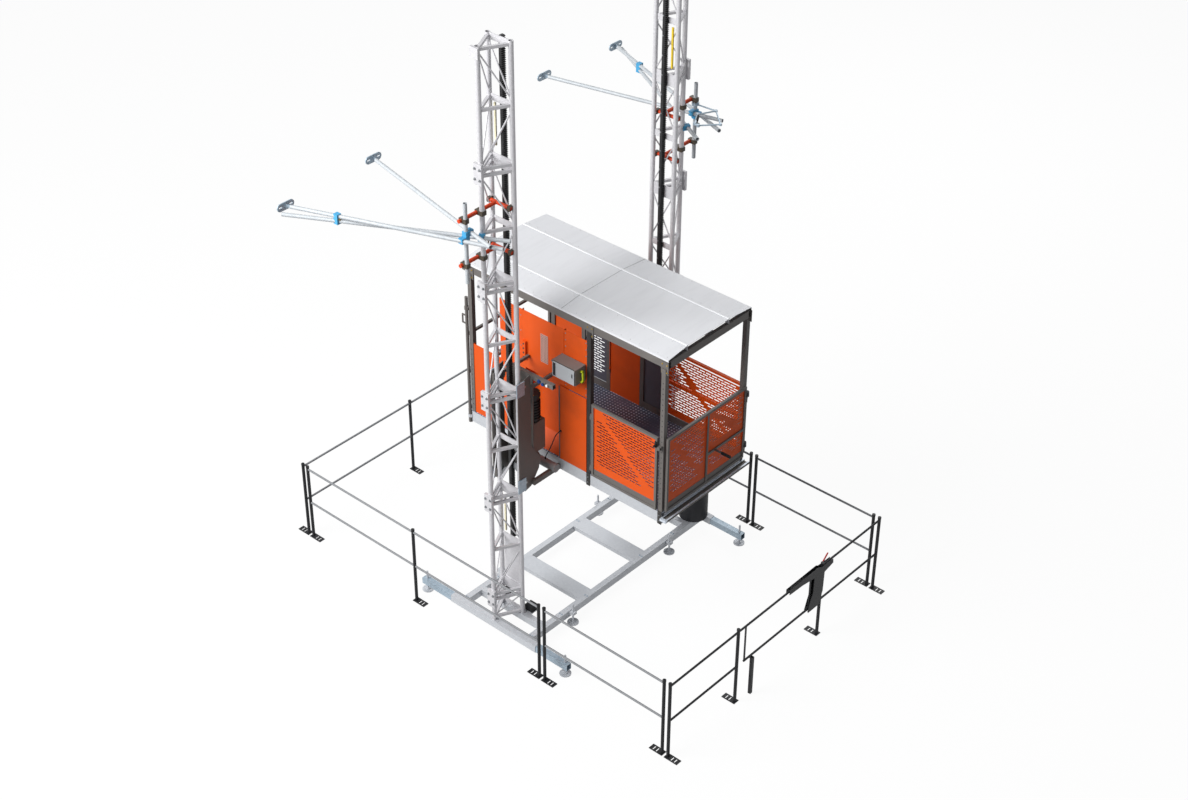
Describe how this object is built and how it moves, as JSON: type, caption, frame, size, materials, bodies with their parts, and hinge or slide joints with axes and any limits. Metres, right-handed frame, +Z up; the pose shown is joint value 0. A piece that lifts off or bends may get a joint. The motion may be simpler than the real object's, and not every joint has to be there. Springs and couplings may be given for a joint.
{
  "type": "material hoist",
  "caption": "Material hoist with a roofed, gated platform driven by rack and pinion along lattice masts, on an outrigger base with wall ties and a ground fence with lift-up barrier.",
  "frame": {"origin": "on the ground under the middle of the whole hoist", "axes": "+X along the platform towards its right end gate, +Y from the near mast to the far mast, +Z up"},
  "size_m": [6.659, 5.9086, 8.0947],
  "materials": {
    "base_beams": "hot dip galvanised",
    "outrigger_housings": "hot dip galvanised",
    "outrigger_arm_near_left": "zinc with a blue cast",
    "outrigger_arm_near_right": "zinc with a blue cast",
    "outrigger_arm_far_left": "zinc with a blue cast",
    "outrigger_arm_far_right": "zinc with a blue cast",
    "outrigger_foot_near_left": "hot dip galvanised",
    "outrigger_foot_near_right": "hot dip galvanised",
    "outrigger_foot_far_left": "hot dip galvanised",
    "outrigger_foot_far_right": "hot dip galvanised",
    "beam_foot_near_left": "hot dip galvanised",
    "beam_foot_near_right": "hot dip galvanised",
    "beam_foot_far_left": "hot dip galvanised",
    "beam_foot_far_right": "hot dip galvanised",
    "near_mast": "hot dip galvanised",
    "far_mast": "hot dip galvanised",
    "racks": "dark oiled steel",
    "mast_guards": "hot dip galvanised",
    "limit_cams": "yellow paint",
    "base_buffers": "black rubber",
    "tie_frames": "red paint",
    "tie_tubes": "hot dip galvanised",
    "tie_couplers": "blue zinc",
    "tie_clamps": "black powder coat",
    "wall_plates": "zinc with a blue cast",
    "cable_bucket": "black plastic",
    "cable_guide": "zinc with a blue cast",
    "fence_posts": "black powder coat",
    "fence_rails": "satin powder coat",
    "barrier_bracket": "black powder coat",
    "barrier_arm": "black powder coat",
    "barrier_lever": "red paint",
    "floor_frame": "hot dip galvanised",
    "floor_deck": "anti-slip plate",
    "cage_frame": "satin powder coat",
    "roof_sheets": "coated sheet",
    "solid_panels": "satin powder coat",
    "mesh_panels": "satin powder coat",
    "drive_frames": "satin powder coat",
    "gearboxes": "grey paint",
    "drive_motors": "black paint",
    "roller_brackets": "zinc with a blue cast",
    "near_pinion": "machined steel",
    "far_pinion": "machined steel",
    "near_safety_pinion": "machined steel",
    "far_safety_pinion": "machined steel",
    "near_upper_rollers": "machined steel",
    "near_lower_rollers": "machined steel",
    "far_upper_rollers": "machined steel",
    "far_lower_rollers": "machined steel",
    "front_gate": "satin powder coat",
    "gate_latch": "black powder coat",
    "right_gate": "satin powder coat",
    "left_gate": "satin powder coat",
    "service_door": "satin powder coat",
    "control_cabinet": "grey paint",
    "cabinet_door": "light grey paint",
    "stop_button": "blue plastic",
    "motor_cable": "black sheath",
    "lamp": "white paint"
  },
  "bodies": {
    "base": {"base_beams": "base_beams", "outrigger_housings": "outrigger_housings", "near_mast": "near_mast", "far_mast": "far_mast", "racks": "racks", "mast_guards": "mast_guards", "limit_cams": "limit_cams", "base_buffers": "base_buffers", "tie_frames": "tie_frames", "tie_tubes": "tie_tubes", "tie_couplers": "tie_couplers", "tie_clamps": "tie_clamps", "wall_plates": "wall_plates", "cable_bucket": "cable_bucket", "cable_guide": "cable_guide", "fence_posts": "fence_posts", "fence_rails": "fence_rails"},
    "platform": {"floor_frame": "floor_frame", "floor_deck": "floor_deck", "cage_frame": "cage_frame", "roof_sheets": "roof_sheets", "solid_panels": "solid_panels", "mesh_panels": "mesh_panels", "drive_frames": "drive_frames", "gearboxes": "gearboxes", "drive_motors": "drive_motors", "roller_brackets": "roller_brackets", "control_cabinet": "control_cabinet", "motor_cable": "motor_cable", "lamp": "lamp"},
    "barrier": {"barrier_bracket": "barrier_bracket", "barrier_arm": "barrier_arm"},
    "outrigger_arm_near_left_body": {"outrigger_arm_near_left": "outrigger_arm_near_left"},
    "outrigger_arm_near_right_body": {"outrigger_arm_near_right": "outrigger_arm_near_right"},
    "outrigger_arm_far_left_body": {"outrigger_arm_far_left": "outrigger_arm_far_left"},
    "outrigger_arm_far_right_body": {"outrigger_arm_far_right": "outrigger_arm_far_right"},
    "outrigger_foot_near_left_body": {"outrigger_foot_near_left": "outrigger_foot_near_left"},
    "outrigger_foot_near_right_body": {"outrigger_foot_near_right": "outrigger_foot_near_right"},
    "outrigger_foot_far_left_body": {"outrigger_foot_far_left": "outrigger_foot_far_left"},
    "outrigger_foot_far_right_body": {"outrigger_foot_far_right": "outrigger_foot_far_right"},
    "beam_foot_near_left_body": {"beam_foot_near_left": "beam_foot_near_left"},
    "beam_foot_near_right_body": {"beam_foot_near_right": "beam_foot_near_right"},
    "beam_foot_far_left_body": {"beam_foot_far_left": "beam_foot_far_left"},
    "beam_foot_far_right_body": {"beam_foot_far_right": "beam_foot_far_right"},
    "barrier_lever_body": {"barrier_lever": "barrier_lever"},
    "near_pinion_body": {"near_pinion": "near_pinion"},
    "far_pinion_body": {"far_pinion": "far_pinion"},
    "near_safety_pinion_body": {"near_safety_pinion": "near_safety_pinion"},
    "far_safety_pinion_body": {"far_safety_pinion": "far_safety_pinion"},
    "near_upper_rollers_body": {"near_upper_rollers": "near_upper_rollers"},
    "near_lower_rollers_body": {"near_lower_rollers": "near_lower_rollers"},
    "far_upper_rollers_body": {"far_upper_rollers": "far_upper_rollers"},
    "far_lower_rollers_body": {"far_lower_rollers": "far_lower_rollers"},
    "front_gate_body": {"front_gate": "front_gate"},
    "gate_latch_body": {"gate_latch": "gate_latch"},
    "right_gate_body": {"right_gate": "right_gate"},
    "left_gate_body": {"left_gate": "left_gate"},
    "service_door_body": {"service_door": "service_door"},
    "cabinet_door_body": {"cabinet_door": "cabinet_door"},
    "stop_button_body": {"stop_button": "stop_button"}
  },
  "joints": [
    {"name": "platform_lift", "type": "slide", "parent": "base", "child": "platform", "axis": [0, 0, 1], "range_m": [-1.5, 4.2]},
    {"name": "arm_near_left_slide", "type": "slide", "parent": "base", "child": "outrigger_arm_near_left_body", "axis": [-1, 0, 0], "range_m": [-0.28, 0]},
    {"name": "arm_near_right_slide", "type": "slide", "parent": "base", "child": "outrigger_arm_near_right_body", "axis": [1, 0, 0], "range_m": [-0.28, 0]},
    {"name": "arm_far_left_slide", "type": "slide", "parent": "base", "child": "outrigger_arm_far_left_body", "axis": [-1, 0, 0], "range_m": [-0.28, 0]},
    {"name": "arm_far_right_slide", "type": "slide", "parent": "base", "child": "outrigger_arm_far_right_body", "axis": [1, 0, 0], "range_m": [-0.28, 0]},
    {"name": "outrigger_foot_near_left_screw", "type": "slide", "parent": "outrigger_arm_near_left_body", "child": "outrigger_foot_near_left_body", "axis": [0, 0, 1], "range_m": [-0.08, 0]},
    {"name": "outrigger_foot_near_right_screw", "type": "slide", "parent": "outrigger_arm_near_right_body", "child": "outrigger_foot_near_right_body", "axis": [0, 0, 1], "range_m": [-0.08, 0]},
    {"name": "outrigger_foot_far_left_screw", "type": "slide", "parent": "outrigger_arm_far_left_body", "child": "outrigger_foot_far_left_body", "axis": [0, 0, 1], "range_m": [-0.08, 0]},
    {"name": "outrigger_foot_far_right_screw", "type": "slide", "parent": "outrigger_arm_far_right_body", "child": "outrigger_foot_far_right_body", "axis": [0, 0, 1], "range_m": [-0.08, 0]},
    {"name": "beam_foot_near_left_screw", "type": "slide", "parent": "base", "child": "beam_foot_near_left_body", "axis": [0, 0, 1], "range_m": [-0.08, 0]},
    {"name": "beam_foot_near_right_screw", "type": "slide", "parent": "base", "child": "beam_foot_near_right_body", "axis": [0, 0, 1], "range_m": [-0.08, 0]},
    {"name": "beam_foot_far_left_screw", "type": "slide", "parent": "base", "child": "beam_foot_far_left_body", "axis": [0, 0, 1], "range_m": [-0.08, 0]},
    {"name": "beam_foot_far_right_screw", "type": "slide", "parent": "base", "child": "beam_foot_far_right_body", "axis": [0, 0, 1], "range_m": [-0.08, 0]},
    {"name": "near_pinion_turn", "type": "hinge", "parent": "platform", "child": "near_pinion_body", "pos_m": [0.1633, -1.29, 2.729], "axis": [0, 1, 0], "range_deg": [-4020, 1440]},
    {"name": "far_pinion_turn", "type": "hinge", "parent": "platform", "child": "far_pinion_body", "pos_m": [0.1633, 1.29, 2.729], "axis": [0, 1, 0], "range_deg": [-4020, 1440]},
    {"name": "near_safety_pinion_turn", "type": "hinge", "parent": "platform", "child": "near_safety_pinion_body", "pos_m": [0.1633, -1.29, 2.42741], "axis": [0, 1, 0], "range_deg": [-4020, 1440]},
    {"name": "far_safety_pinion_turn", "type": "hinge", "parent": "platform", "child": "far_safety_pinion_body", "pos_m": [0.1633, 1.29, 2.42741], "axis": [0, 1, 0], "range_deg": [-4020, 1440]},
    {"name": "near_upper_rollers_turn", "type": "hinge", "parent": "platform", "child": "near_upper_rollers_body", "pos_m": [0.0775, -1.331, 3.655], "axis": [1, 0, 0], "range_deg": [-2500, 6960]},
    {"name": "near_lower_rollers_turn", "type": "hinge", "parent": "platform", "child": "near_lower_rollers_body", "pos_m": [0.0775, -1.331, 2.245], "axis": [1, 0, 0], "range_deg": [-2500, 6960]},
    {"name": "far_upper_rollers_turn", "type": "hinge", "parent": "platform", "child": "far_upper_rollers_body", "pos_m": [0.0775, 1.331, 3.655], "axis": [1, 0, 0], "range_deg": [-6960, 2500]},
    {"name": "far_lower_rollers_turn", "type": "hinge", "parent": "platform", "child": "far_lower_rollers_body", "pos_m": [0.0775, 1.331, 2.245], "axis": [1, 0, 0], "range_deg": [-6960, 2500]},
    {"name": "front_gate_swing", "type": "hinge", "parent": "platform", "child": "front_gate_body", "pos_m": [0.8595, -0.786, 2.9], "axis": [0, 0, 1], "range_deg": [-95, 0]},
    {"name": "gate_latch_turn", "type": "hinge", "parent": "front_gate_body", "child": "gate_latch_body", "pos_m": [1.8825, -0.786, 3.28], "axis": [0, 1, 0], "range_deg": [0, 90]},
    {"name": "right_gate_swing", "type": "hinge", "parent": "platform", "child": "right_gate_body", "pos_m": [2.0045, 0.744, 2.9], "axis": [0, 0, 1], "range_deg": [0, 95]},
    {"name": "left_gate_swing", "type": "hinge", "parent": "platform", "child": "left_gate_body", "pos_m": [-1.2045, -0.776, 2.9], "axis": [0, 0, 1], "range_deg": [0, 95]},
    {"name": "service_door_swing", "type": "hinge", "parent": "platform", "child": "service_door_body", "pos_m": [-0.1525, 0.706, 3.3], "axis": [0, 0, 1], "range_deg": [-95, 0]},
    {"name": "cabinet_door_swing", "type": "hinge", "parent": "platform", "child": "cabinet_door_body", "pos_m": [0.5725, -0.9593, 3.888], "axis": [1, 0, 0], "range_deg": [-110, 0]},
    {"name": "barrier_swing", "type": "hinge", "parent": "base", "child": "barrier", "pos_m": [3.1595, 0.953, 1.12], "axis": [-1, 0, 0], "range_deg": [0, 85]},
    {"name": "barrier_lever_turn", "type": "hinge", "parent": "barrier", "child": "barrier_lever_body", "pos_m": [3.1595, 0.985, 1.092], "axis": [1, 0, 0], "range_deg": [-25, 40]},
    {"name": "stop_button_press", "type": "slide", "parent": "platform", "child": "stop_button_body", "axis": [0, 1, 0], "range_m": [0, 0.004], "stiffness_N_per_m": 1500}
  ],
  "couplings": [
    {"joint": "near_pinion_turn", "follows": "platform_lift", "rad_per_m": -16.667},
    {"joint": "far_pinion_turn", "follows": "platform_lift", "rad_per_m": -16.667},
    {"joint": "near_safety_pinion_turn", "follows": "platform_lift", "rad_per_m": -16.667},
    {"joint": "far_safety_pinion_turn", "follows": "platform_lift", "rad_per_m": -16.667},
    {"joint": "near_upper_rollers_turn", "follows": "platform_lift", "rad_per_m": 28.818},
    {"joint": "near_lower_rollers_turn", "follows": "platform_lift", "rad_per_m": 28.818},
    {"joint": "far_upper_rollers_turn", "follows": "platform_lift", "rad_per_m": -28.818},
    {"joint": "far_lower_rollers_turn", "follows": "platform_lift", "rad_per_m": -28.818}
  ]
}
